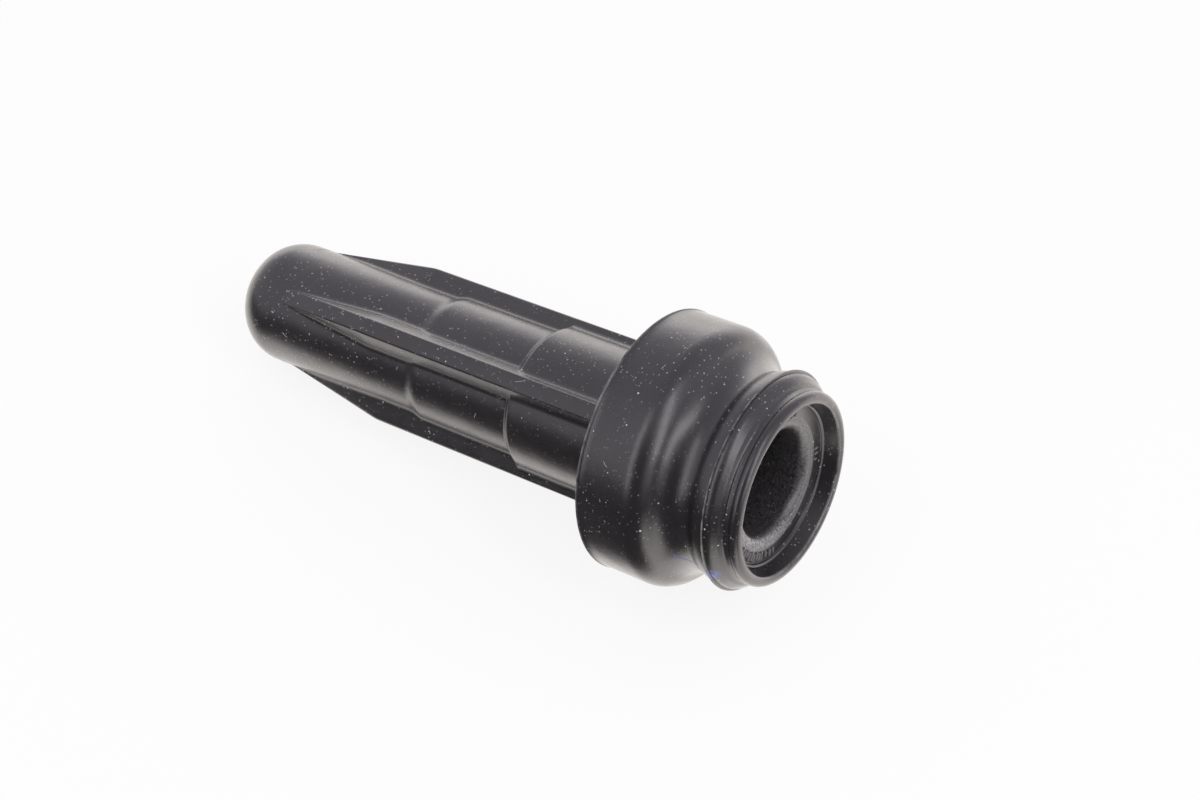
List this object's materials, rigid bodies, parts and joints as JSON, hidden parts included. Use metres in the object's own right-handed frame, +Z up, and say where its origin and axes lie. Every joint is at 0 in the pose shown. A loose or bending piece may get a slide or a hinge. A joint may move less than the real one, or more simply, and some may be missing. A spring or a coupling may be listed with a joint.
{
  "type": "spark plug cap",
  "caption": "Black rubber spark plug cap: a ribbed, stepped tube with a sealing skirt, a necked collar, a lipped coil mouth and a stepped through bore.",
  "frame": {"origin": "under the middle of the lying cap's box, on the surface that it lies on", "axes": "+X along the cap's length, from the plug end to the coil mouth; +Z up; the cap's axis lies in the XZ plane and rises about 8 degrees towards +X"},
  "size_m": [0.0946, 0.0372, 0.0378],
  "materials": {
    "black_rubber": "satin black moulded rubber with pale dust specks"
  },
  "bodies": {
    "root": {"cap_moulding": "black_rubber"}
  },
  "joints": []
}
